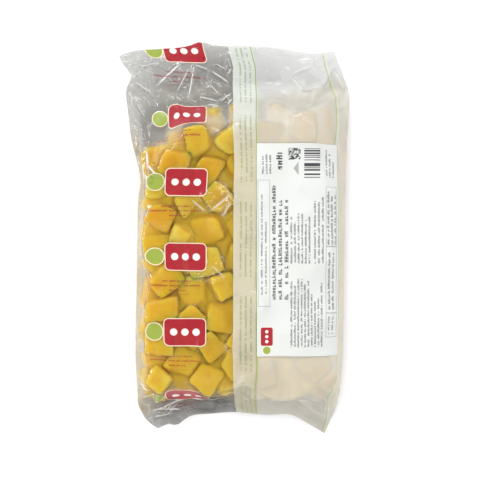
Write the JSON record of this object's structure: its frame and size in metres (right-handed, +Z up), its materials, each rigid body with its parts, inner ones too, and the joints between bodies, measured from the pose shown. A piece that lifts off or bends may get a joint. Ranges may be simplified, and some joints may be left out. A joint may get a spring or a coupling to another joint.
{
  "type": "sealed bag of diced mango",
  "caption": "Sealed clear pillow bag of diced mango, lying flat with its lap-sealed back up, crimped ends with corner ears, and a paper label stuck along one side",
  "frame": {"origin": "centre of the bag's box, seen from above, on the flat underside", "axes": "+Y along the bag towards its empty, slack end, +X across it towards the label, +Z up out of the lap-sealed back"},
  "size_m": [0.2032, 0.3472, 0.0477],
  "materials": {
    "bag": "glossy clear film over yellow dice",
    "label": "matte"
  },
  "bodies": {
    "root": {"bag": "bag", "label": "label"}
  },
  "joints": []
}
